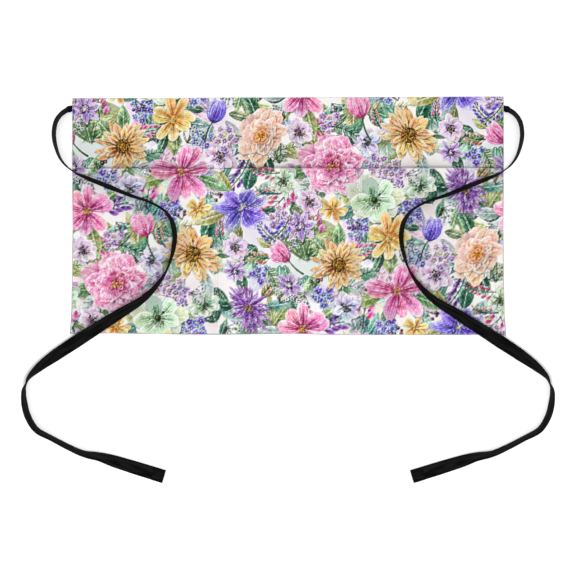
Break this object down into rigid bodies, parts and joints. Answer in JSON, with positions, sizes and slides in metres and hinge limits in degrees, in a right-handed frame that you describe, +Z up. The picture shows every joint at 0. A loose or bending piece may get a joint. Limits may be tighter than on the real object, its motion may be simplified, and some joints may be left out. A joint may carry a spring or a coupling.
{
  "type": "waist apron",
  "caption": "Short rectangular waist apron lying front up, with an all-over floral print, a full-width pocket panel sewn into open pockets, and black tape ties.",
  "frame": {"origin": "under the middle of the cloth panel, on the surface that the apron lies on", "axes": "+X along the waist edge to the right of the front, +Y towards the waist edge, +Z up off the front"},
  "size_m": [0.7438, 0.5381, 0.0343],
  "materials": {
    "printed_cloth": "matt woven cloth with a floral print",
    "tape": "matt black woven tape"
  },
  "bodies": {
    "root": {"apron_panel": "printed_cloth", "pocket_panel": "printed_cloth", "tie_left": "tape", "tie_right": "tape"}
  },
  "joints": []
}
